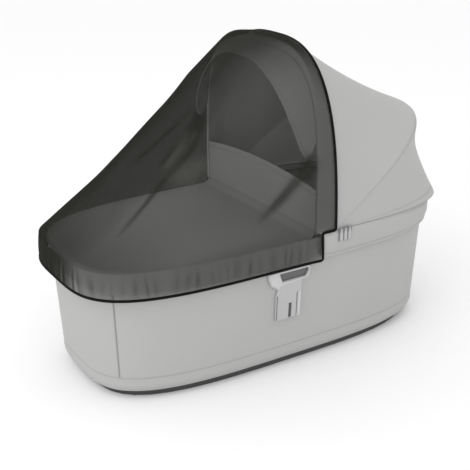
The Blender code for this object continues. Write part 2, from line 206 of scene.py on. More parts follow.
# The adapters' plates, holes and raised parts on the wall, as (x, way up the wall) in metres
ADAPTER_OUTLINE = (
    (-0.0720, 0.2085),
    (-0.0736, 0.2030),
    (-0.0654, 0.1827),
    (-0.0490, 0.1710),
    (-0.0527, 0.1600),
    (-0.0527, 0.1085),
    (-0.0505, 0.1065),
    (0.0010, 0.1065),
    (0.0033, 0.1085),
    (0.0037, 0.1670),
    (0.0041, 0.1806),
    (0.0145, 0.1820),
    (0.0204, 0.1860),
    (0.0224, 0.1970),
    (0.0212, 0.2085),
)
ADAPTER_LOOP_RIM = (
    (-0.0700, 0.2080),
    (-0.0712, 0.2035),
    (-0.0638, 0.1848),
    (-0.0480, 0.1738),
    (-0.0440, 0.1800),
    (0.0140, 0.1842),
    (0.0186, 0.1875),
    (0.0203, 0.1970),
    (0.0195, 0.2080),
)
ADAPTER_LOOP_HOLE = (
    (-0.0468, 0.2040),
    (-0.0400, 0.1865),
    (0.0121, 0.1870),
    (0.0180, 0.1970),
    (0.0170, 0.2040),
)
ADAPTER_RIM_HOLE = (
    (-0.0488, 0.2045),
    (-0.0415, 0.1845),
    (0.0130, 0.1858),
    (0.0189, 0.1965),
    (0.0180, 0.2045),
)
ADAPTER_SLOT_HOLE = oblong(-0.0234, 0.1076, -0.0164, 0.1385)
ADAPTER_RAIL = oblong(-0.0030, 0.1080, 0.0022, 0.1590)
ADAPTER_GROOVE = oblong(-0.0062, 0.1085, -0.0044, 0.1580)
ADAPTER_EDGE_GROOVE = oblong(-0.0508, 0.1085, -0.0490, 0.1590)
ADAPTER_GAPS = oblong(-0.0515, 0.1070, -0.0035, 0.1600)
ADAPTER_EDGE = oblong(-0.0482, 0.1075, -0.0440, 0.1580)

# The adapters' layers, as (height of the middle over the wall, thickness, rounding of the edges)
PLATE_LAYER = (0.0024, 0.0040, 0.0009)
RAISED_LAYER = (0.0047, 0.0016, 0.0007)
EDGE_LAYER = (0.0045, 0.0008, 0.0003)
SUNK_LAYER = (0.0002, 0.0003, 0.0001)

# The stage: the paper floor, the soft lamp and the camera
FLOOR_HALF = 20.0
LAMP_PLACE = (-2.2, -0.9, 2.2)
LAMP_AIM = (0.0, 0.0, 0.2)
LAMP_SIZE = (2.5, 2.0)
LAMP_POWER = 24.0
CAMERA_AIM = (0.013, 0.0, 0.2037)
CAMERA_AZIMUTH = radians(-32.79)
CAMERA_ELEVATION = radians(21.902)
CAMERA_DISTANCE = 1.8841
CAMERA_LENS = 72.02
CAMERA_SHIFT = -0.0345


def unit_curve(angle, power):
    """The unit superellipse at polar angles: cosine and sine scaled until the powers add up to 1."""
    c = np.cos(angle)
    s = np.sin(angle)
    reach = (np.abs(c) ** power + np.abs(s) ** power) ** (-1 / power)
    return reach * c, reach * s


def stack(x, y, z):
    """Points from coordinates that broadcast together, with the axis last."""
    return np.stack(np.broadcast_arrays(x, y, z), axis=-1)


def plan_angle_at(outline, x):
    """The plan angle where the near side of an outline is at this x, 0 at the side's middle."""
    s = -x / outline.half_length
    return atan2(s, (1 - abs(s) ** outline.power) ** (1 / outline.power))


def wall_point(angle, z, grow=0.0):
    """The basket's wall: the rim's superellipse, smaller in proportion to the depth below the rim."""
    c, s = unit_curve(angle, RIM.power)
    down = (RIM_Z - z) / (RIM_Z - BASKET_BOTTOM_Z)
    x = -(RIM.half_length - TAPER_END * down + grow) * s
    y = -(RIM.half_width - TAPER_SIDE * down + grow) * c
    return stack(x, y, z)


def plan_point(outline, angle, z, grow):
    """A superellipse grown outwards by a distance, at any height."""
    c, s = unit_curve(angle, outline.power)
    return stack(-(outline.half_length + grow) * s, -(outline.half_width + grow) * c, z)


def foot_angles(outline, share, end_x):
    """Plan angles round the foot end, from end_x on the near side to end_x on the far side."""
    start = plan_angle_at(outline, end_x)
    return start + (pi - 2 * start) * share


def head_angles(outline, share, end_x):
    """Plan angles round the head end, from end_x on the near side to end_x on the far side."""
    start = plan_angle_at(outline, end_x)
    return start - (pi + 2 * start) * share


def arch_point(arch, angle, grow=0.0):
    """A superellipse arch, from its near foot at angle 0 to its far foot at pi."""
    c, s = unit_curve(angle, arch.power)
    reach = (arch.height + grow) * s
    x = arch.foot_x + reach * cos(arch.slope)
    y = -(arch.half_width + grow) * c
    return stack(x, y, HOOD_BASE_Z + reach * sin(arch.slope))


def between_arches(first, second, sag, angle, along, grow=0.0):
    """The straight way from one arch to the next, a row for each step along, sagging as a parabola."""
    start = arch_point(first, angle, grow)
    end = arch_point(second, angle, grow)
    c, s = unit_curve(angle, second.power)
    dip = sag * 4 * along * (1 - along) * s / np.hypot(c, s)
    return start + (end - start) * along[..., None] - dip[..., None] * stack(0.0, -c, s)


def bell(distance, width):
    """1 at no distance, falling off as a bell of this half width."""
    return np.exp(-((distance / width) ** 2))


def along_streak(points, streak):
    """How close points lie to a streak's path: a bell of the distance, narrowing and fading along it."""
    path = np.array(streak.path)
    nearest = np.full(points.shape[:-1], np.inf)
    walked = np.zeros(points.shape[:-1])
    for number, (start, end) in enumerate(zip(path[:-1], path[1:])):
        way = end - start
        share = np.clip((points - start) @ way / (way @ way), 0, 1)
        distance = np.linalg.norm(points - start - share[..., None] * way, axis=-1)
        closer = distance < nearest
        nearest = np.where(closer, distance, nearest)
        walked = np.where(closer, (number + share) / (len(path) - 1), walked)
    fade = np.clip(walked / streak.start, 0, 1) * np.clip((1 - walked) / 0.25, 0, 1) ** 0.8
    return bell(nearest, streak.width * (1.15 - 0.6 * walked)) * fade


def grid_normals(points):
    """Unit normals of a grid of points, on the side away from the middle of the carrycot."""
    normals = np.cross(np.gradient(points, axis=1), np.gradient(points, axis=0))
    normals /= np.maximum(np.linalg.norm(normals, axis=-1, keepdims=True), 1e-9)
    middle = np.array((0.0, 0.0, 0.2))
    return normals * np.sign(((points - middle) * normals).sum(axis=-1).mean())


def smooth_rows(points, passes):
    """Each row averaged with its two neighbours, again and again, between its first and last row."""
    for _ in range(passes):
        points[1:-1] = (points[:-2] + 2 * points[1:-1] + points[2:]) / 4
    return points


def arc_lengths(points, axis):
    """The distance walked along one axis of a grid of points, from its middle."""
    steps = np.linalg.norm(np.diff(points, axis=axis), axis=-1)
    walked = np.cumsum(steps, axis=axis)
    start = np.zeros_like(np.take(walked, [0], axis=axis))
    walked = np.concatenate([start, walked], axis=axis)
    return walked - np.take(walked, [walked.shape[axis] // 2], axis=axis)


def waves(values, lengths, shifts):
    """The mean of a few sine waves of different lengths, for an unevenness that doesn't repeat."""
    total = sum(np.sin(2 * pi * (values / length + shift)) for length, shift in zip(lengths, shifts))
    return total / len(lengths)


def grid_piece(name, points, shade):
    """A mesh over a grid of points, its UV map in metres of cloth, its faces away from the middle."""
    rows, columns = points.shape[:2]
    index = np.arange(rows * columns).reshape(rows, columns)
    around = [index[:-1, :-1], index[:-1, 1:], index[1:, 1:], index[1:, :-1]]
    quads = np.stack(around, axis=-1).reshape(-1, 4)
    raw = np.cross(np.gradient(points, axis=1), np.gradient(points, axis=0))
    if (raw * grid_normals(points)).sum() < 0:
        quads = quads[:, ::-1]
    mesh = bpy.data.meshes.new(name)
    mesh.from_pydata(points.reshape(-1, 3).tolist(), [], quads.tolist())
    corners = np.empty(len(mesh.loops), dtype=np.int32)
    mesh.loops.foreach_get("vertex_index", corners)
    cloth = np.stack([arc_lengths(points, 1), arc_lengths(points, 0)], axis=-1).reshape(-1, 2)
    layer = mesh.uv_layers.new(name="cloth")
    layer.data.foreach_set("uv", cloth[corners].ravel())
    mesh.materials.append(shade)
    mesh.shade_smooth()
    piece = bpy.data.objects.new(name, mesh)
    bpy.context.scene.collection.objects.link(piece)
    return piece


def mesh_points(mesh):
    """The places of all points of a mesh."""
    flat = np.empty(3 * len(mesh.vertices))
    mesh.vertices.foreach_get("co", flat)
    return flat.reshape(-1, 3)


def set_attribute(piece, name, values, shape=()):
    """Keeps one number per point of a piece for its material, spread over the grid if it has a shape."""
    values = np.broadcast_to(values, shape or np.shape(values)).astype(np.float32)
    attribute = piece.data.attributes.new(name, "FLOAT", "POINT")
    attribute.data.foreach_set("value", values.ravel())


def join_doubles(piece, closed):
    """Joins points that lie together; a closed shell then has its faces turned outwards."""
    work = bmesh.new()
    work.from_mesh(piece.data)
    bmesh.ops.remove_doubles(work, verts=work.verts, dist=0.00002)
    if closed:
        open_edges = [edge for edge in work.edges if edge.is_boundary]
        if open_edges:
            bmesh.ops.holes_fill(work, edges=open_edges)
        bmesh.ops.recalc_face_normals(work, faces=work.faces)
    work.to_mesh(piece.data)
    work.free()


def add_thickness(piece, thickness, offset, lining=None):
    """Gives a sheet its thickness and, where one is given, a lining on its inner side."""
    solidify = piece.modifiers.new("thickness", "SOLIDIFY")
    solidify.thickness = thickness
    solidify.offset = offset
    if lining:
        piece.data.materials.append(lining)
        solidify.material_offset = 1


def add_rounding(piece, width):
    """Rounds a piece's sharp edges."""
    bevel = piece.modifiers.new("rounding", "BEVEL")
    bevel.width = width
    bevel.segments = 3
    bevel.limit_method = "ANGLE"
    bevel.angle_limit = radians(40)


def placed(piece, node):
    """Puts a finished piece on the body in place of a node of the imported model."""
    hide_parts(node)
    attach(piece, "root")


def swept(name, path, outward, width, thickness, shade):
    """A flat oval section carried along a closed path: path + w cos(t) across + n sin(t) outward.

    Across is the path's direction crossed with the outward one.
    """
    ahead = np.roll(path, -1, axis=0) - np.roll(path, 1, axis=0)
    ahead /= np.linalg.norm(ahead, axis=1, keepdims=True)
    across = np.cross(ahead, outward)
    across /= np.linalg.norm(across, axis=1, keepdims=True)
    outward = np.cross(across, ahead)
    turns = np.linspace(0, 2 * pi, 17)
    c, s = unit_curve(turns, 3.0)
    points = path[:, None] + across[:, None] * (c * width / 2)[:, None]
    points = points + outward[:, None] * (s * thickness / 2)[:, None]
    points = np.concatenate([points, points[:1]])
    piece = grid_piece(name, points, shade)
    join_doubles(piece, closed=True)
    return piece


def tube(name, path, radius, shade):
    """A round cord along an open path: rings r cos(t) across and r sin(t) outward, shut at its ends."""
    ahead = np.gradient(path, axis=0)
    ahead /= np.linalg.norm(ahead, axis=1, keepdims=True)
    across = np.cross(ahead, (1.0, 0.0, 0.0))
    across /= np.linalg.norm(across, axis=1, keepdims=True)
    outward = np.cross(across, ahead)
    turns = np.linspace(0, 2 * pi, 13)
    size = np.full(len(path), radius)
    size[[0, -1]] = 0.0
    ring = across[:, None] * np.cos(turns)[:, None] + outward[:, None] * np.sin(turns)[:, None]
    piece = grid_piece(name, path[:, None] + ring * size[:, None, None], shade)
    join_doubles(piece, closed=True)
    return piece


def even_loop(path, step, others, passes):
    """A closed path walked in even steps, with its corners and its other values smoothed alike."""
    values = np.concatenate([path, others], axis=1)
    values = np.concatenate([values, values[:1]])
    walked = np.concatenate([[0], np.cumsum(np.linalg.norm(np.diff(values[:, :3], axis=0), axis=1))])
    places = np.linspace(0, walked[-1], int(walked[-1] / step), endpoint=False)
    even = np.stack([np.interp(places, walked, column) for column in values.T], axis=1)
    for _ in range(passes):
        even = (np.roll(even, 1, axis=0) + 2 * even + np.roll(even, -1, axis=0)) / 4
    return even[:, :3], even[:, 3:] / np.linalg.norm(even[:, 3:], axis=1, keepdims=True)


def node(tree, kind, inputs=(), **settings):
    """Adds a shader node, sets its options and sets or links its inputs."""
    made = tree.nodes.new(kind)
    for key, value in settings.items():
        setattr(made, key, value)
    for socket, value in dict(inputs).items():
        if isinstance(value, bpy.types.NodeSocket):
            tree.links.new(value, made.inputs[socket])
        else:
            made.inputs[socket].default_value = value
    return made


def calc(tree, operation, first, second=0.0, clamp=False):
    """One step of arithmetic between shader values."""
    inputs = {0: first, 1: second}
    return node(tree, "ShaderNodeMath", inputs, operation=operation, use_clamp=clamp).outputs[0]


def start_group(name, sockets):
    """A new node group with named inputs and outputs, given as (name, IN or OUT, kind)."""
    tree = bpy.data.node_groups.new(name, "ShaderNodeTree")
    for label, side, kind in sockets:
        tree.interface.new_socket(name=label, in_out=side + "PUT", socket_type="NodeSocket" + kind)
    return tree, node(tree, "NodeGroupInput").outputs, node(tree, "NodeGroupOutput").inputs


def hexagon_mesh():
    """Node group: threads round hexagonal holes, from three cosines 60 degrees apart."""
    sockets = (("Vector", "IN", "Vector"), ("Holes per Metre", "IN", "Float"), ("Thread", "OUT", "Float"))
    tree, given, result = start_group("hexagon_mesh", sockets)
    turns = calc(tree, "MULTIPLY", given["Holes per Metre"], 2 * pi)
    total = 0.0
    for angle in (0, pi / 3, 2 * pi / 3):
        way = (cos(angle), sin(angle), 0.0)
        along = node(tree, "ShaderNodeVectorMath", {0: given["Vector"], 1: way}, operation="DOT_PRODUCT")
        wave = calc(tree, "COSINE", calc(tree, "MULTIPLY", along.outputs["Value"], turns))
        total = calc(tree, "ADD", wave, total)
    thread = node(tree, "ShaderNodeMapRange", {"Value": total, "From Min": 1.0, "From Max": -0.8})
    tree.links.new(thread.outputs["Result"], result["Thread"])
    return tree


def plain_weave():
    """Node group: over and under threads as a product of two sines, with slubs from noise."""
    sockets = (
        ("Vector", "IN", "Vector"),
        ("Threads per Metre", "IN", "Float"),
        ("Slub", "IN", "Float"),
        ("Height", "OUT", "Float"),
    )
    tree, given, result = start_group("plain_weave", sockets)
    parts = node(tree, "ShaderNodeSeparateXYZ", {0: given["Vector"]})
    turns = calc(tree, "MULTIPLY", given["Threads per Metre"], pi)
    first = calc(tree, "SINE", calc(tree, "MULTIPLY", parts.outputs["X"], turns))
    second = calc(tree, "SINE", calc(tree, "MULTIPLY", parts.outputs["Y"], turns))
    over = calc(tree, "MULTIPLY", first, second)
    noise = node(tree, "ShaderNodeTexNoise", {"Vector": given["Vector"], "Scale": 260.0, "Detail": 3.0})
    slub = calc(tree, "MULTIPLY", noise.outputs["Fac"], given["Slub"])
    tree.links.new(calc(tree, "ADD", calc(tree, "MULTIPLY", over, 0.5), slub), result["Height"])
    return tree


def uneven_colour():
    """Node group: a colour made a little lighter and darker by two sizes of noise, and by seams and painted
    shading.
    """
    sockets = (
        ("Vector", "IN", "Vector"),
        ("Color", "IN", "Color"),
        ("Variation", "IN", "Float"),
        ("Seam", "IN", "Float"),
        ("Color", "OUT", "Color"),
    )
    tree, given, result = start_group("uneven_colour", sockets)
    broad = node(tree, "ShaderNodeTexNoise", {"Vector": given["Vector"], "Scale": 9.0, "Detail": 3.0})
    fine = node(tree, "ShaderNodeTexNoise", {"Vector": given["Vector"], "Scale": 420.0, "Detail": 2.0})
    both = calc(tree, "ADD", broad.outputs["Fac"], fine.outputs["Fac"])
    spread = calc(tree, "MULTIPLY", calc(tree, "SUBTRACT", both, 1.0), given["Variation"])
    seam = calc(tree, "MULTIPLY", given["Seam"], 0.45)
    tone = calc(tree, "SUBTRACT", calc(tree, "ADD", spread, 1.0), seam)
    scaled = node(tree, "ShaderNodeVectorMath", {0: given["Color"], "Scale": tone}, operation="SCALE")
    tree.links.new(scaled.outputs[0], result["Color"])
    return tree


def shared_group(tree, name, inputs):
    """Places a shared node group, which is built once, and sets or links its inputs."""
    makers = {"hexagon_mesh": hexagon_mesh, "plain_weave": plain_weave, "uneven_colour": uneven_colour}
    built = bpy.data.node_groups.get(name) or makers[name]()
    return node(tree, "ShaderNodeGroup", inputs, node_tree=built)


def new_material(name, roughness, specular):
    """A material with one Principled shader, its finish set on the shader itself."""
    made = bpy.data.materials.new(name)
    made.use_nodes = True
    shader = made.node_tree.nodes["Principled BSDF"]
    shader.inputs["Roughness"].default_value = roughness
    shader.inputs["Specular IOR Level"].default_value = specular
    return made, made.node_tree, shader


def built_once(make):
    """Lets a maker of materials hand back the material that already has the name."""

    def maker(name, *values):
        return bpy.data.materials.get(name) or make(name, *values)

    return maker


def cloth_place(tree):
    """The place on the cloth in metres, from the piece's own UV map."""
    return node(tree, "ShaderNodeUVMap", uv_map="cloth").outputs["UV"]


def attribute_value(tree, name):
    """The value that a piece keeps for its material."""
    return node(tree, "ShaderNodeAttribute", attribute_name=name).outputs["Fac"]


def finish_surface(tree, shader, colour, height, distance):
    """Feeds a colour and a bump to a shader."""
    tree.links.new(colour, shader.inputs["Base Color"])
    bump = node(tree, "ShaderNodeBump", {"Strength": 0.6, "Distance": distance, "Height": height})
    tree.links.new(bump.outputs["Normal"], shader.inputs["Normal"])


@built_once
def cloth_material(name, colour, threads, darker="seam"):
    """Woven carrycot cloth: a fine plain weave, uneven in colour, darker or lighter where an attribute of
    seams and painted shading says.
    """
    made, tree, shader = new_material(name, 0.85, 0.25)
    shader.inputs["Sheen Weight"].default_value = 0.08
    place = cloth_place(tree)
    seam = attribute_value(tree, darker)
    tint = {"Vector": place, "Color": (*colour, 1.0), "Variation": 0.05, "Seam": seam}
    tone = shared_group(tree, "uneven_colour", tint)
    weave = shared_group(tree, "plain_weave", {"Vector": place, "Threads per Metre": threads, "Slub": 0.6})
    finish_surface(tree, shader, tone.outputs["Color"], weave.outputs["Height"], 0.00025)
    return made


@built_once
def plastic_material(name, colour, roughness):
    """Moulded plastic: a fine grain in the surface, a faint unevenness of colour, and painted shade where its
    seam attribute says.
    """
    made, tree, shader = new_material(name, roughness, 0.4)
    place = node(tree, "ShaderNodeTexCoord").outputs["Object"]
    seam = attribute_value(tree, "seam")
    tint = {"Vector": place, "Color": (*colour, 1.0), "Variation": 0.10, "Seam": seam}
    tone = shared_group(tree, "uneven_colour", tint)
    grain = node(tree, "ShaderNodeTexNoise", {"Vector": place, "Scale": 900.0, "Detail": 2.0})
    finish_surface(tree, shader, tone.outputs["Color"], grain.outputs["Fac"], 0.0002)
    return made


@built_once
def net_material(name, look):
    """Sheer mesh: hexagonal holes, denser where it carries painted shade, at a glancing angle and seen from
    inside.

    What stays open is (1 - density) times (1 - inner), and inner counts for camera rays alone.
    """
    made, tree, shader = new_material(name, 0.9, 0.02)
    holes = {"Vector": cloth_place(tree), "Holes per Metre": 1 / look.hole_size}
    thread = shared_group(tree, "hexagon_mesh", holes).outputs["Thread"]
    # Painted highlight: the mesh's colour made brighter along light streaks and on the skirt's gathers
    brighter = calc(tree, "ADD", calc(tree, "MULTIPLY", attribute_value(tree, "painted_highlight"), 3.5), 1.0)
    plain = {0: (*look.net_colour,), "Scale": brighter}
    colour = node(tree, "ShaderNodeVectorMath", plain, operation="SCALE").outputs[0]
    # Painted shade: the mesh made denser, and so darker, along its folds, ridge top, foot end and skirt
    # valleys
    dark = calc(tree, "MULTIPLY", attribute_value(tree, "painted_shade"), 0.34)
    density = calc(tree, "ADD", calc(tree, "MULTIPLY", thread, 0.16), look.net_density - 0.06)
    facing = node(tree, "ShaderNodeLayerWeight", {"Blend": 0.5}).outputs["Facing"]
    edge_on = {"Value": facing, "From Min": 0.38, "From Max": 0.88, "To Max": 0.5}
    glancing = node(tree, "ShaderNodeMapRange", edge_on).outputs["Result"]
    density = calc(tree, "ADD", calc(tree, "ADD", density, dark), glancing, clamp=True)
    inside = node(tree, "ShaderNodeNewGeometry").outputs["Backfacing"]
    seen = node(tree, "ShaderNodeLightPath").outputs["Is Camera Ray"]
    inner = calc(tree, "MULTIPLY", calc(tree, "MULTIPLY", inside, seen), look.inner_density)
    left_open = calc(tree, "SUBTRACT", 1.0, density)
    left_open = calc(tree, "MULTIPLY", left_open, calc(tree, "SUBTRACT", 1.0, inner))
    tree.links.new(calc(tree, "SUBTRACT", 1.0, left_open), shader.inputs["Alpha"])
    finish_surface(tree, shader, colour, thread, 0.0001)
    return made


@built_once
def elastic_material(name, look):
    """Woven elastic: near black, with fine ribs across the band."""
    made, tree, shader = new_material(name, 0.8, 0.08)
    place = cloth_place(tree)
    weave = shared_group(tree, "plain_weave", {"Vector": place, "Threads per Metre": 900.0, "Slub": 0.3})
    tint = {"Vector": place, "Color": (*look.elastic_colour, 1.0), "Variation": 0.5}
    tone = shared_group(tree, "uneven_colour", tint)
    finish_surface(tree, shader, tone.outputs["Color"], weave.outputs["Height"], 0.0004)
    return made


def net_rim_grow(share):
    """How far outside the rim the net's crease lies, a little more towards the hood's feet."""
    to_end = np.clip(1 - np.minimum(share, 1 - share) / 0.06, 0, 1)
    return CREASE_GROW + CREASE_GROW_AT_END * to_end**2


def net_surface(rows, columns):
    """The net's sheet: a band over the hood, then the straight way down from its ridge to the rim.

    Along its normals it moves out or in by the tent's profile, in by its folds, and by slow waves.
    """
    share = np.linspace(0, 1, columns)
    start = atan2(NET_BAND_Z - HOOD_BASE_Z, BOW_ARCH.height)
    angles = start + (pi - 2 * start) * share
    back = arch_point(BOW_ARCH, angles, NET_STANDOFF)
    ridge = arch_point(RIDGE_ARCH, angles)
    rim = plan_point(NET_RIM, foot_angles(NET_RIM, share, SKIRT_END_X), NET_RIM_Z, net_rim_grow(share))
    down = np.linspace(0, 1, rows)
    tent = ridge + (rim - ridge) * down[:, None, None]
    c, s = unit_curve(angles, RIDGE_ARCH.power)
    profile = smooth_rows(np.interp(down, *np.array(TENT_PROFILE).T), rows // 8)[:, None]
    offset = profile * np.where(profile > 0, (1 - c**2) ** 8, s)
    for streak in STREAKS:
        offset = offset - streak.depth * along_streak(tent, streak)
    across = arc_lengths(tent, 1)
    slack = (np.sin(pi * down) ** 1.2)[:, None] * s
    uneven = waves(across + 0.35 * down[:, None], (0.21, 0.13, 0.083), (0.1, 0.5, 0.2))
    offset = offset - NET_SLACK * slack * (1 + uneven)
    tent = tent + grid_normals(tent) * offset[..., None]
    band = back + (ridge - back) * np.linspace(0, 1, rows // 8)[:-1, None, None]
    surface = smooth_rows(np.concatenate([band, tent]), 3)
    surface[-1] = rim
    return surface


def streak_sums(points, which):
    """The painted shade or painted highlight of all folds together."""
    return np.clip(sum(getattr(streak, which) * along_streak(points, streak) for streak in STREAKS), 0, 1)


def pucker_wave(place):
    """Uneven gathers: fine waves whose spacing wanders, swelling and fading round the rim."""
    wander = place + 0.006 * np.sin(2 * pi * place / 0.171) + 0.004 * np.sin(2 * pi * place / 0.067 + 1.3)
    fine = np.sin(2 * pi * wander / 0.0210) + 0.4 * np.sin(2 * pi * wander / 0.0133 + 0.8)
    swell = 0.5 + 0.3 * np.sin(2 * pi * place / 0.31 + 0.5) + 0.2 * np.sin(2 * pi * place / 0.127)
    return fine / 1.4 * np.clip(swell, 0.75, 1)


def length_property(name, description, default):
    """A length that a user would change."""
    return bpy.props.FloatProperty(name=name, description=description, default=default, unit="LENGTH")


def factor_property(name, description, default):
    """A share from 0 to 1 that a user would change."""
    return bpy.props.FloatProperty(name=name, description=description, default=default, subtype="FACTOR")


def colour_property(name, description, default):
    """A colour that a user would change."""
    return bpy.props.FloatVectorProperty(name=name, description=description, default=default, subtype="COLOR")


class CarrycotNetSizes(bpy.types.PropertyGroup):
    """Sizes of the trims that a user would change."""

    binding_width: length_property("Binding width", "Width of the elastic binding", 0.0053)
    binding_thickness: length_property("Binding thickness", "Thickness of the elastic binding", 0.0024)
    pucker_depth: length_property("Pucker depth", "Depth of the skirt's gathers", 0.0011)
    piping_radius: length_property("Piping radius", "Radius of the hood's piping", 0.0017)


class CarrycotNetLook(bpy.types.PropertyGroup):
    """Colours and finishes that a user would change."""

    net_colour: colour_property("Net", "Colour of the net's threads", (0.0192, 0.0194, 0.0160))
    net_density: factor_property("Net density", "Share that the net's threads cover", 0.475)
    inner_density: factor_property("Inner density", "Share that its inner side adds", 0.885)
    hole_size: length_property("Hole spacing", "Distance between the net's holes", 0.0012)
    elastic_colour: colour_property("Elastic", "Colour of the binding", (0.006, 0.006, 0.006))
    cloth_colour: colour_property("Cloth", "Colour of basket and apron", (0.425, 0.425, 0.42))
    hood_colour: colour_property("Hood", "Colour of the hood's cloth", (0.435, 0.435, 0.43))
    lining_colour: colour_property("Lining", "Colour of the inner sides", (0.80, 0.80, 0.795))
    plastic_colour: colour_property("Plastic", "Colour of adapters and hinges", (0.45, 0.45, 0.45))
    # Painted highlight: a lighter copy of the plastic's colour for the raised rims and rails
    loop_highlight_colour: colour_property("Loop", "Colour of the loops and rails", (0.54, 0.54, 0.54))
    # Painted shade: the colour of the dark sheets in the adapters' openings
    painted_shade_colour: colour_property("Recess", "Colour behind the openings", (0.13, 0.13, 0.13))
    base_colour: colour_property("Base", "Colour of the base plate", (0.06, 0.06, 0.06))


def net_painted_shade(points):
    """How much painted shade darkens the net's mesh: along its folds, along its ridge's top and towards its
    foot.
    """
    x, y, z = np.moveaxis(points, -1, 0)
    ridge_top = 0.55 * bell(y, 0.15) * bell(z - 0.605, 0.050)
    foot = 0.43 * np.clip((-0.25 - x) / 0.135, 0, 1)
    return np.clip(streak_sums(points, "dark") + ridge_top + foot, 0, 1)


class CARRYCOT_OT_net_panel(bpy.types.Operator):
    """Builds the net's main sheet"""

    bl_idname = "carrycot.net_panel"
    bl_label = "Net panel"

    def execute(self, context):
        points = net_surface(121, 241)
        piece = grid_piece("net_sheet", points, net_material("sheer_net", context.scene.carrycot_look))
        # Painted shade and painted highlight for the mesh's material
        set_attribute(piece, "painted_shade", net_painted_shade(points))
        set_attribute(piece, "painted_highlight", streak_sums(points, "light"))
        placed(piece, "net_panel")
        return {"FINISHED"}


def skirt_surface(pucker_depth):
    """The skirt's grid, flaring down from the crease, and its painted shade and painted highlight.

    It stands in and out by its slanted gathers times a sine of the way down. Painted shade darkens its mesh
    between the gathers and at the far side of the foot end, where the gathers also lie flatter; painted
    highlight lightens their crests.
    """
    share = np.linspace(0, 1, 1201)
    plan = foot_angles(NET_RIM, share, SKIRT_END_X)
    crease = plan_point(NET_RIM, plan, 0.0, 0.0)
    place = arc_lengths(crease[None], 1)[0]
    x, y, _ = crease.T
    down = np.linspace(0, 1, 25)[:, None]
    slanted = place + 0.006 * (down - 0.5) * np.sin(2 * pi * place / 0.113 + 1.0)
    far_foot = np.clip((-0.370 - x) / 0.015, 0, 1) * np.clip((y + 0.08) / 0.10, 0, 1)
    to_ends = np.clip(np.minimum(share, 1 - share) / 0.02, 0, 1)
    gathers = pucker_wave(slanted) * to_ends * (1 - 0.65 * far_foot)
    z = NET_RIM_Z + (SKIRT_BOTTOM_Z - NET_RIM_Z) * down
    flare = net_rim_grow(share) + SKIRT_FLARE * down + SKIRT_BELLY * np.sin(pi * down)
    depth = pucker_depth * np.sin(pi * 0.62 * down) ** 1.5
    points = plan_point(NET_RIM, plan, z, flare + depth * gathers)
    # Painted shade between the gathers, uneven along the rim and strongest a little below the middle
    uneven = 0.5 + 0.5 * np.sin(2 * pi * place / 0.093 + 2.0 + 1.5 * down)
    lower = 0.15 + 0.85 * bell(down - 0.60, 0.30)
    valley = np.clip(0.15 - gathers, 0, 1) * lower * (0.3 + 0.7 * uneven)
    return points, np.clip(0.60 * valley + far_foot, 0, 1), np.clip(0.12 * gathers, 0, 1)


class CARRYCOT_OT_net_skirt(bpy.types.Operator):
    """Builds the gathered band outside the rim"""

    bl_idname = "carrycot.net_skirt"
    bl_label = "Net skirt"

    def execute(self, context):
        points, dark, light = skirt_surface(context.scene.carrycot_sizes.pucker_depth)
        piece = grid_piece("net_gathers", points, net_material("sheer_net", context.scene.carrycot_look))
        set_attribute(piece, "painted_shade", dark)
        set_attribute(piece, "painted_highlight", light)
        placed(piece, "net_skirt")
        return {"FINISHED"}


def binding_route():
    """The binding's closed way: under the skirt, up its ends, along the step and over the hood.

    Its outward directions come from the same curves, a centimetre further out.
    """
    end_x = SKIRT_END_X + BINDING_OUT
    step_z = NET_BAND_Z - BINDING_OUT
    further = 0.01
    plan = foot_angles(NET_RIM, np.linspace(0, 1, 401), end_x)
    flare = net_rim_grow(np.linspace(0, 1, 401)) + SKIRT_FLARE
    skirt = plan_point(NET_RIM, plan, BINDING_Z, flare)
    beyond = plan_point(NET_RIM, plan, BINDING_Z, flare + further)
    start = atan2(step_z - HOOD_BASE_Z, BOW_ARCH.height)
    angles = start + (pi - 2 * start) * np.linspace(0, 1, 301)
    behind = (0.0018, 0.0, 0.0)
    standoff = NET_STANDOFF - 0.0006
    arch = arch_point(BOW_ARCH, angles, standoff) + behind
    arch_beyond = arch_point(BOW_ARCH, angles, standoff + further) + behind
    step = np.array([(end_x, arch[0, 1], step_z)])
    path = np.concatenate([skirt[::-1], step, arch, step * (1, -1, 1)])
    side = np.array([(0.0, -1.0, 0.0)])
    outward = [(beyond - skirt)[::-1] / further, side, (arch_beyond - arch) / further, -side]
    return path, np.concatenate(outward)


class CARRYCOT_OT_net_binding(bpy.types.Operator):
    """Builds the elastic binding round the net's whole edge"""

    bl_idname = "carrycot.net_binding"
    bl_label = "Net binding"

    def execute(self, context):
        sizes = context.scene.carrycot_sizes
        path, outward = binding_route()
        path, outward = even_loop(path, 0.002, outward, 5)
        shade = elastic_material("woven_elastic", context.scene.carrycot_look)
        piece = swept("elastic_binding", path, outward, sizes.binding_width, sizes.binding_thickness, shade)
        placed(piece, "net_binding")
        return {"FINISHED"}


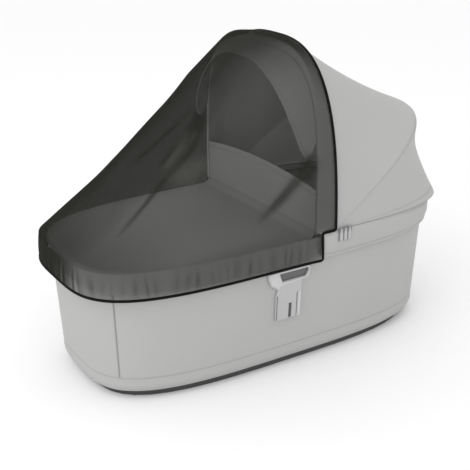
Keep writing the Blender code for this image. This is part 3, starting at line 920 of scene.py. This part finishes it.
def basket_surface():
    """The basket's outer side: wall, rounded lower edge and floor, with the darkening by its seams.

    The rows and columns lie closer together by the sewn band and the upright seams, where the wall
    is pressed in by bells of the distance.
    """
    corner = plan_angle_at(RIM, CORNER_SEAM_X)
    by_seam = np.linspace(-0.014, 0.014, 12)
    angles = np.sort(np.concatenate([np.linspace(0, 2 * pi, 409), corner + by_seam, pi - corner + by_seam]))
    by_band = np.linspace(0.0495, 0.0295, 18)
    heights = np.concatenate([np.linspace(RIM_Z, BASKET_BOTTOM_Z + BOTTOM_ROUND, 73), by_band])
    heights = np.sort(heights)[::-1, None]
    band = bell(heights - BAND_Z, 0.0012)
    piping = bell(heights - BAND_PIPING_Z, 0.0022)
    off = np.minimum(np.abs(angles - corner), np.abs(angles - (pi - corner)))
    upright = bell(off, 0.0062) * np.clip((heights - 0.046) / 0.004, 0, 1)
    wall = wall_point(angles, heights, 0.0006 * piping - 0.0007 * band - 0.0008 * upright)
    turns = np.linspace(0, pi / 2, 13)[1:, None]
    round_z = BASKET_BOTTOM_Z + BOTTOM_ROUND * (1 - np.sin(turns))
    lower = wall_point(angles, round_z, -BOTTOM_ROUND * (1 - np.cos(turns)))
    inward = np.linspace(0, 1, 9)[1:, None, None] ** 1.5
    floor = lower[-1] * (1 - inward * (1, 1, 0))
    points = np.concatenate([wall, lower, floor])
    seam = np.zeros(points.shape[:2])
    seam[: len(wall)] = 0.45 * band + upright
    return points, seam


class CARRYCOT_OT_basket(bpy.types.Operator):
    """Builds the basket's cloth walls and floor"""

    bl_idname = "carrycot.basket"
    bl_label = "Basket"

    def execute(self, context):
        look = context.scene.carrycot_look
        shade = cloth_material("basket_weave", look.cloth_colour, BASKET_THREADS)
        lining = cloth_material("basket_lining", look.lining_colour, BASKET_THREADS)
        points, seam = basket_surface()
        piece = grid_piece("basket_cloth", points, shade)
        set_attribute(piece, "seam", seam)
        join_doubles(piece, closed=False)
        add_thickness(piece, WALL, -1.0, lining)
        placed(piece, "basket")
        return {"FINISHED"}


class CARRYCOT_OT_base_plate(bpy.types.Operator):
    """Gives the base plate its moulded finish"""

    bl_idname = "carrycot.base_plate"
    bl_label = "Base plate"

    def execute(self, context):
        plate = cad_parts["base_plate"]
        shade = plastic_material("moulded_base", context.scene.carrycot_look.base_colour, 0.6)
        for slot in plate.material_slots:
            slot.material = shade
        return {"FINISHED"}


def apron_surface():
    """The apron's grid: flap, bend, crowned top, and the edge turned down over the rim.

    The second value darkens the flap's stitched hem and, as painted light, lightens the whole flap.
    """
    share = np.linspace(0, 1, 241)
    y = -FLAP_HALF_WIDTH * (1 - 2 * share)
    top_z = FLAP_SIDE_Z + FLAP_CROWN * (1 - (y / FLAP_HALF_WIDTH) ** 2)
    foot_z = APRON_Z + FLAP_BEND
    up = np.linspace(1, 0, 24)[:, None]
    flap = stack(FLAP_X, y, foot_z + (top_z - foot_z) * up)
    turns = np.linspace(pi / 2, 0, 9)[1:, None]
    bend = stack(FLAP_X - FLAP_BEND * (1 - np.sin(turns)), y, APRON_Z + FLAP_BEND * (1 - np.cos(turns)))
    angles = foot_angles(RIM, share, FLAP_X - FLAP_BEND)
    edge = plan_point(RIM, angles, APRON_Z, -0.003)
    across = np.linspace(0, 1, 41)[1:, None]
    top = bend[-1] + (edge - bend[-1]) * across[..., None]
    top[..., 2] += APRON_CROWN * np.sin(pi * across) * np.sin(pi * share)
    corner = plan_point(RIM, angles, APRON_Z - 0.0006, 0.0010)[None]
    turned = wall_point(angles, np.linspace(RIM_Z, APRON_BOTTOM_Z, 13)[:, None], 0.0024)
    points = np.concatenate([flap, bend, top, corner, turned])
    seam = np.zeros(points.shape[:2])
    # Painted light: the whole flap lighter than the rest of the same cloth, its stitched hem darker
    seam[: len(flap)] = 0.4 * bell((1 - up) * (top_z - foot_z) - 0.010, 0.0014) - 0.55
    return points, seam


class CARRYCOT_OT_apron(bpy.types.Operator):
    """Builds the cover over the foot half with its raised flap"""

    bl_idname = "carrycot.apron"
    bl_label = "Apron"

    def execute(self, context):
        shade = cloth_material("apron_weave", context.scene.carrycot_look.cloth_colour, BASKET_THREADS)
        points, seam = apron_surface()
        piece = grid_piece("apron_cloth", points, shade)
        set_attribute(piece, "seam", seam)
        add_thickness(piece, APRON_THICKNESS, 0.0)
        placed(piece, "apron")
        return {"FINISHED"}


def hood_back(back, share):
    """The hood's back, from its rear hoop straight down to its hem, with that hem.

    It sags inward by a parabola and a second one nearer the hoop, and by slow creases.
    """
    c, s = unit_curve(pi * share, REAR_ARCH.power)
    rim = plan_point(HEM, head_angles(HEM, share, REAR_ARCH.foot_x), HOOD_BASE_Z, HEM_GROW)
    rim[[0, -1]] = back[[0, -1]]
    down = np.linspace(0, 1, 45)[1:, None]
    sag = (HOOD_BACK_SAG * 4 * down * (1 - down) + HOOD_SHOULDER_SAG * 6.75 * down * (1 - down) ** 2) * s
    uneven = waves(np.linspace(-1, 1, len(share)) + 0.25 * down, (0.46, 0.29), (0.15, 0.6))
    creases = HOOD_CREASE * np.sin(pi * down) ** 2 * uneven * s
    outward = stack(s, -0.4 * c, 0.0)
    return back + (rim - back) * down[..., None] - outward * (sag + creases)[..., None], rim


def hood_surface():
    """The hood's grid: seam to bow, bow to rear hoop, down its back, and a tuck under its hem.

    The second value is the darkening by its seams, along the rear hoop and by the hem.
    """
    share = np.linspace(0, 1, 241)
    inward = -HOOD_THICKNESS / 2
    front = between_arches(SEAM_ARCH, BOW_ARCH, 0.0, pi * share, np.linspace(0, 1, 15)[:, None], inward)
    steps = np.linspace(0, 1, 45)[1:, None]
    middle = between_arches(BOW_ARCH, REAR_ARCH, HOOD_TOP_SAG, pi * share, steps, inward)
    lower, rim = hood_back(middle[-1], share)
    tuck = plan_point(RIM, head_angles(RIM, share, REAR_ARCH.foot_x), HOOD_BASE_Z + 0.0004, 0.0015)
    tuck[[0, -1]] = rim[[0, -1]]
    under = rim + (tuck - rim) * np.linspace(0, 1, 5)[1:, None, None]
    points = smooth_rows(np.concatenate([front, middle, lower]), 2)
    points = np.concatenate([points, under])
    rows = np.arange(len(points))[:, None]
    hoop = len(front) + len(middle) - 1
    return points, 0.35 * bell(rows - hoop, 0.8) + 0.35 * bell(rows - len(points) + 9, 0.8)


def hood_inner_shade(points):
    """The lining's tone: a little paler than its colour, with painted shade at the far side of the hood's
    mouth.
    """
    by_mouth = np.clip((0.15 - points[..., 0]) / 0.10, 0, 1)
    far_side = np.clip(points[..., 1] / 0.16, 0, 1) ** 1.2
    return 1.2 * far_side * by_mouth - 0.25


def add_piping(look, radius):
    """The piping on the hood's front seam, with painted shade on all but its far side."""
    angles = np.linspace(0.004, pi - 0.004, 401)
    line = arch_point(SEAM_ARCH, angles, -HOOD_THICKNESS / 2)
    shade = cloth_material("piping_weave", look.lining_colour, PIPING_THREADS)
    piece = tube("hood_piping", line, radius, shade)
    # Painted shade: the piping darkened everywhere but on its far side
    set_attribute(piece, "seam", 1.25 * (mesh_points(piece.data)[:, 1] < 0.15))
    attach(piece, "root")


class CARRYCOT_OT_hood(bpy.types.Operator):
    """Builds the hood's cloth and the piping on its front seam"""

    bl_idname = "carrycot.hood"
    bl_label = "Hood"

    def execute(self, context):
        look = context.scene.carrycot_look
        shade = cloth_material("hood_weave", look.hood_colour, HOOD_THREADS)
        lining = cloth_material("hood_lining", look.lining_colour, HOOD_THREADS, "inner_shade")
        points, seam = hood_surface()
        piece = grid_piece("hood_cloth", points, shade)
        set_attribute(piece, "seam", seam, points.shape[:2])
        # Painted shade on the lining, towards the far side of the hood's mouth
        set_attribute(piece, "inner_shade", hood_inner_shade(points))
        join_doubles(piece, closed=False)
        add_thickness(piece, HOOD_THICKNESS, 0.0, lining)
        placed(piece, "hood")
        add_piping(look, context.scene.carrycot_sizes.piping_radius)
        return {"FINISHED"}


def visor_edge(angle):
    """The visor's front edge: a superellipse arch, narrower towards its top and leaning forward."""
    c, s = unit_curve(angle, VISOR_POWER)
    x = VISOR_FOOT_X - VISOR_REACH * s**0.156
    y = -(VISOR_HALF_WIDTH - VISOR_THICKNESS / 2 - VISOR_NARROWING * s) * c
    return stack(x, y, VISOR_FOOT_Z + VISOR_RISE * s)


def visor_surface():
    """The visor's grid: the straight way from the hood's front seam to the visor's front edge.

    The second value is the darkening by its hem, 7 mm behind the edge.
    """
    share = np.linspace(0, 1, 193)
    front = visor_edge(VISOR_TIP + (pi - 2 * VISOR_TIP) * share)
    seam_angles = VISOR_SEAM_TIP + (pi - 2 * VISOR_SEAM_TIP) * share
    seam = arch_point(SEAM_ARCH, seam_angles, -VISOR_THICKNESS / 2) - (0.0016, 0, 0)
    forward = np.linspace(0, 1, 29)[:, None]
    points = seam + (front - seam) * forward[..., None]
    span = np.linalg.norm(front - seam, axis=-1)
    return points, 0.3 * bell((1 - forward) * span - 0.007, 0.0013)


class CARRYCOT_OT_visor(bpy.types.Operator):
    """Builds the crescent in front of the hood"""

    bl_idname = "carrycot.visor"
    bl_label = "Visor"

    def execute(self, context):
        shade = cloth_material("hood_weave", context.scene.carrycot_look.hood_colour, HOOD_THREADS)
        points, seam = visor_surface()
        piece = grid_piece("visor_cloth", points, shade)
        set_attribute(piece, "seam", seam)
        add_thickness(piece, VISOR_THICKNESS, 0.0)
        placed(piece, "visor")
        return {"FINISHED"}


def cuff_surface():
    """The cuff's section carried round the head end, thinner and rounded up at its two ends.

    The second value is the groove of its hem, 1 in the middle of the groove.
    """
    angles = head_angles(RIM, np.linspace(0, 1, 361), CUFF_END_X)
    walked = arc_lengths(plan_point(RIM, angles, 0.0, 0.0)[None], 1)[0]
    to_end = np.clip((walked.max() - np.abs(walked)) / CUFF_ROUND, 0, 1)
    corner = 1 - np.sqrt(1 - (1 - to_end) ** 2)
    corners = np.arange(len(CUFF_SECTION))
    steps = np.linspace(0, len(CUFF_SECTION) - 1, 61)
    grow, z = (np.interp(steps, corners, column)[:, None] for column in np.array(CUFF_SECTION).T)
    thin = 0.5 + 0.5 * (1 - corner) ** 0.5
    raised = z + np.clip((0.2400 - z) / 0.027, 0, 1) * (CUFF_ROUND * corner)
    middle = np.where(z < 0.256, 0.0035, grow)
    hem = bell(z - 0.2215, 0.0011) * (grow > 0.005)
    return plan_point(RIM, angles, raised, middle + (grow - middle) * thin - 0.0005 * hem), hem


class CARRYCOT_OT_hood_cuff(bpy.types.Operator):
    """Builds the hood's cuff round the head half of the rim"""

    bl_idname = "carrycot.hood_cuff"
    bl_label = "Hood cuff"

    def execute(self, context):
        points, hem = cuff_surface()
        shade = cloth_material("basket_weave", context.scene.carrycot_look.cloth_colour, BASKET_THREADS)
        piece = grid_piece("cuff_cloth", points, shade)
        set_attribute(piece, "seam", 0.45 * hem, points.shape[:2])
        join_doubles(piece, closed=True)
        placed(piece, "hood_cuff")
        return {"FINISHED"}


def hinge_surface(side):
    """A hinge's face: upright ribs with gaps between them that widen upwards.

    Each rib stands out by the root of its distance from the gap, fading to its upper and lower end.
    The second value is 1 on a rib and 0 in a gap.
    """
    x = np.linspace(HINGE_START_X, HINGE_END_X, 145)
    up = np.linspace(0, 1, 61)[:, None]
    to_gap = np.abs((x - HINGE_START_X + RIB_SPACING / 2) % RIB_SPACING - RIB_SPACING / 2)
    gap = 0.0008 + 0.0028 * np.clip((up - 0.55) / 0.45, 0, 1)
    rib = np.clip((to_gap - gap) / 0.0012, 0, 1)
    upright = np.clip(np.minimum(up, 1 - up) / 0.10, 0, 1) ** 0.5
    y = RIM.half_width + HINGE_STANDOFF + RIB_HEIGHT * np.sqrt(rib) * upright
    return stack(x, side * y, HINGE_BOTTOM_Z + HINGE_HEIGHT * up), rib


class CARRYCOT_OT_hinges(bpy.types.Operator):
    """Builds the two ribbed hinge covers"""

    bl_idname = "carrycot.hinges"
    bl_label = "Hinges"

    def execute(self, context):
        shade = plastic_material("moulded_fittings", context.scene.carrycot_look.plastic_colour, 0.5)
        for name, side in (("hinge_near", -1), ("hinge_far", 1)):
            points, rib = hinge_surface(side)
            piece = grid_piece(f"{name}_cover", points, shade)
            # Painted shade: the gaps between the ribs darkened
            set_attribute(piece, "seam", 1.3 * (1 - rib))
            add_thickness(piece, 0.0012, -1.0)
            add_rounding(piece, 0.0004)
            placed(piece, name)
        return {"FINISHED"}


def rounded_outline(outline, passes):
    """A closed outline walked in even steps, its corners rounded by averaging."""
    flat = np.array(outline)
    path = stack(flat[:, 0], flat[:, 1], 0.0)
    even, _ = even_loop(path, 0.0008, np.ones((len(path), 3)), passes)
    return even[:, :2]


def plate_mesh(name, outlines, thickness, rounding):
    """A flat plate with rounded edges between filled outlines, as a mesh in its own XY plane."""
    curve = bpy.data.curves.new(name, "CURVE")
    curve.dimensions = "2D"
    curve.fill_mode = "BOTH"
    curve.extrude = thickness / 2 - rounding
    curve.bevel_depth = rounding
    curve.bevel_resolution = 2
    curve.offset = -rounding
    for outline in outlines:
        spline = curve.splines.new("POLY")
        spline.points.add(len(outline) - 1)
        flat = np.zeros((len(outline), 4))
        flat[:, :2] = outline
        flat[:, 3] = 1.0
        spline.points.foreach_set("co", flat.ravel())
        spline.use_cyclic_u = True
    helper = bpy.data.objects.new(name, curve)
    bpy.context.scene.collection.objects.link(helper)
    bpy.context.view_layer.update()
    graph = bpy.context.evaluated_depsgraph_get()
    mesh = bpy.data.meshes.new_from_object(helper.evaluated_get(graph))
    bpy.data.objects.remove(helper, do_unlink=True)
    return mesh


def fitting(name, outlines, layer, side, shade):
    """A flat moulded layer on the basket's leaning wall, turned by the wall's lean."""
    height, thickness, rounding = layer
    mesh = plate_mesh(name, outlines, thickness, rounding)
    x, up, out = mesh_points(mesh).T
    lean = atan2(TAPER_SIDE, RIM_Z - BASKET_BOTTOM_Z)
    foot = RIM.half_width - TAPER_SIDE * RIM_Z / (RIM_Z - BASKET_BOTTOM_Z) + height / cos(lean)
    y = side * (foot + up * sin(lean) + out * cos(lean))
    z = up * cos(lean) - out * sin(lean)
    mesh.vertices.foreach_set("co", stack(x, y, z).ravel())
    mesh.materials.clear()
    mesh.materials.append(shade)
    piece = bpy.data.objects.new(name, mesh)
    bpy.context.scene.collection.objects.link(piece)
    join_doubles(piece, closed=True)
    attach(piece, "root")
    return piece


class CARRYCOT_OT_adapters(bpy.types.Operator):
    """Builds the loop and plate on each side that click on a stroller's frame"""

    bl_idname = "carrycot.adapters"
    bl_label = "Adapters"

    def execute(self, context):
        look = context.scene.carrycot_look
        shade = plastic_material("moulded_fittings", look.plastic_colour, 0.5)
        # Painted highlight: the raised rims and rails in a lighter copy of the fittings' plastic
        pale = plastic_material("painted_highlight_plastic", look.loop_highlight_colour, 0.45)
        # Painted shade: a dark sheet sunk in the loop's hole and one behind the plate's grooves and slot
        dark = plastic_material("moulded_recess", look.painted_shade_colour, 0.6)
        loop_hole = rounded_outline(ADAPTER_LOOP_HOLE, 8)
        plate = [rounded_outline(ADAPTER_OUTLINE, 6), loop_hole, rounded_outline(ADAPTER_SLOT_HOLE, 2)]
        plate += [rounded_outline(ADAPTER_GROOVE, 1), rounded_outline(ADAPTER_EDGE_GROOVE, 1)]
        rim = [rounded_outline(ADAPTER_LOOP_RIM, 6), rounded_outline(ADAPTER_RIM_HOLE, 6)]
        parts = (
            ("rim", rim, RAISED_LAYER, pale),
            ("rail", [rounded_outline(ADAPTER_RAIL, 3)], RAISED_LAYER, pale),
            ("edge", [rounded_outline(ADAPTER_EDGE, 3)], EDGE_LAYER, shade),
            ("recess", [loop_hole * (1.04, 1.0)], SUNK_LAYER, dark),
            ("gaps", [rounded_outline(ADAPTER_GAPS, 1)], SUNK_LAYER, dark),
        )
        for name, side in (("adapter_near", -1), ("adapter_far", 1)):
            body = fitting(f"{name}_plate", plate, PLATE_LAYER, side, shade)
            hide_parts(name)
            for ending, outlines, layer, finish in parts:
                fitting(f"{name}_{ending}", outlines, layer, side, finish)
        return {"FINISHED"}


def add_floor(scene):
    """The white paper floor."""
    paper, tree, shader = new_material("white_paper", 0.9, 0.1)
    place = node(tree, "ShaderNodeTexCoord").outputs["Object"]
    noise = node(tree, "ShaderNodeTexNoise", {"Vector": place, "Scale": 40.0})
    pale = {"Value": noise.outputs["Fac"], "To Min": 0.955, "To Max": 0.965}
    tone = node(tree, "ShaderNodeMapRange", pale)
    tree.links.new(tone.outputs["Result"], shader.inputs["Base Color"])
    corners = FLOOR_HALF * np.array([(-1, -1, 0), (1, -1, 0), (1, 1, 0), (-1, 1, 0)])
    mesh = bpy.data.meshes.new("floor")
    mesh.from_pydata(corners.tolist(), [], [(0, 1, 2, 3)])
    mesh.materials.append(paper)
    floor = bpy.data.objects.new("floor", mesh)
    scene.collection.objects.link(floor)


def add_light(scene):
    """A white surround and one large soft lamp at the upper left, by the foot end."""
    world = bpy.data.worlds.new("studio")
    world.use_nodes = True
    sky = world.node_tree.nodes["Background"]
    sky.inputs["Color"].default_value = (1.0, 1.0, 1.0, 1.0)
    sky.inputs["Strength"].default_value = 1.0
    scene.world = world
    light = bpy.data.lights.new("soft_box", "AREA")
    light.shape = "RECTANGLE"
    light.size, light.size_y = LAMP_SIZE
    light.energy = LAMP_POWER
    lamp = bpy.data.objects.new("soft_box", light)
    lamp.location = LAMP_PLACE
    lamp.rotation_euler = (Vector(LAMP_PLACE) - Vector(LAMP_AIM)).to_track_quat("Z", "Y").to_euler()
    scene.collection.objects.link(lamp)


def add_camera(scene):
    """The camera, set back from what it looks at along the photograph's viewing angle."""
    level = cos(CAMERA_ELEVATION)
    back = Vector((sin(CAMERA_AZIMUTH) * level, -cos(CAMERA_AZIMUTH) * level, sin(CAMERA_ELEVATION)))
    lens = bpy.data.cameras.new("camera")
    lens.lens = CAMERA_LENS
    lens.sensor_width = 36.0
    lens.shift_x = CAMERA_SHIFT
    camera = bpy.data.objects.new("camera", lens)
    camera.location = Vector(CAMERA_AIM) + back * CAMERA_DISTANCE
    camera.rotation_euler = back.to_track_quat("Z", "Y").to_euler()
    scene.collection.objects.link(camera)
    scene.camera = camera


class CARRYCOT_OT_stage(bpy.types.Operator):
    """Sets up the pale floor, the soft light and the camera"""

    bl_idname = "carrycot.stage"
    bl_label = "Stage"

    def execute(self, context):
        context.scene.view_settings.view_transform = "Standard"
        add_floor(context.scene)
        add_light(context.scene)
        add_camera(context.scene)
        return {"FINISHED"}


OPERATORS = (
    CARRYCOT_OT_stage,
    CARRYCOT_OT_basket,
    CARRYCOT_OT_base_plate,
    CARRYCOT_OT_apron,
    CARRYCOT_OT_hood_cuff,
    CARRYCOT_OT_hood,
    CARRYCOT_OT_visor,
    CARRYCOT_OT_hinges,
    CARRYCOT_OT_adapters,
    CARRYCOT_OT_net_panel,
    CARRYCOT_OT_net_skirt,
    CARRYCOT_OT_net_binding,
)


class CARRYCOT_PT_panel(bpy.types.Panel):
    """Lists the sizes, the colours and the pieces"""

    bl_label = "Carrycot net"
    bl_idname = "CARRYCOT_PT_panel"
    bl_space_type = "VIEW_3D"
    bl_region_type = "UI"
    bl_category = "Carrycot net"

    def draw(self, context):
        for settings in (context.scene.carrycot_sizes, context.scene.carrycot_look):
            for name in settings.__annotations__:
                self.layout.prop(settings, name)
        for operator in OPERATORS:
            self.layout.operator(operator.bl_idname)


CLASSES = (CarrycotNetSizes, CarrycotNetLook, *OPERATORS, CARRYCOT_PT_panel)


def register():
    """Registers the classes and hangs the sizes and the look on the scene"""
    for cls in CLASSES:
        bpy.utils.register_class(cls)
    bpy.types.Scene.carrycot_sizes = bpy.props.PointerProperty(type=CarrycotNetSizes)
    bpy.types.Scene.carrycot_look = bpy.props.PointerProperty(type=CarrycotNetLook)


def unregister():
    """Takes back what register did"""
    del bpy.types.Scene.carrycot_look
    del bpy.types.Scene.carrycot_sizes
    for cls in reversed(CLASSES):
        bpy.utils.unregister_class(cls)


def main():
    """Builds the stage and every piece in order"""
    register()
    bpy.ops.carrycot.stage()
    bpy.ops.carrycot.basket()
    bpy.ops.carrycot.base_plate()
    bpy.ops.carrycot.apron()
    bpy.ops.carrycot.hood_cuff()
    bpy.ops.carrycot.hood()
    bpy.ops.carrycot.visor()
    bpy.ops.carrycot.hinges()
    bpy.ops.carrycot.adapters()
    bpy.ops.carrycot.net_panel()
    bpy.ops.carrycot.net_skirt()
    bpy.ops.carrycot.net_binding()


if __name__ == "__main__":
    main()
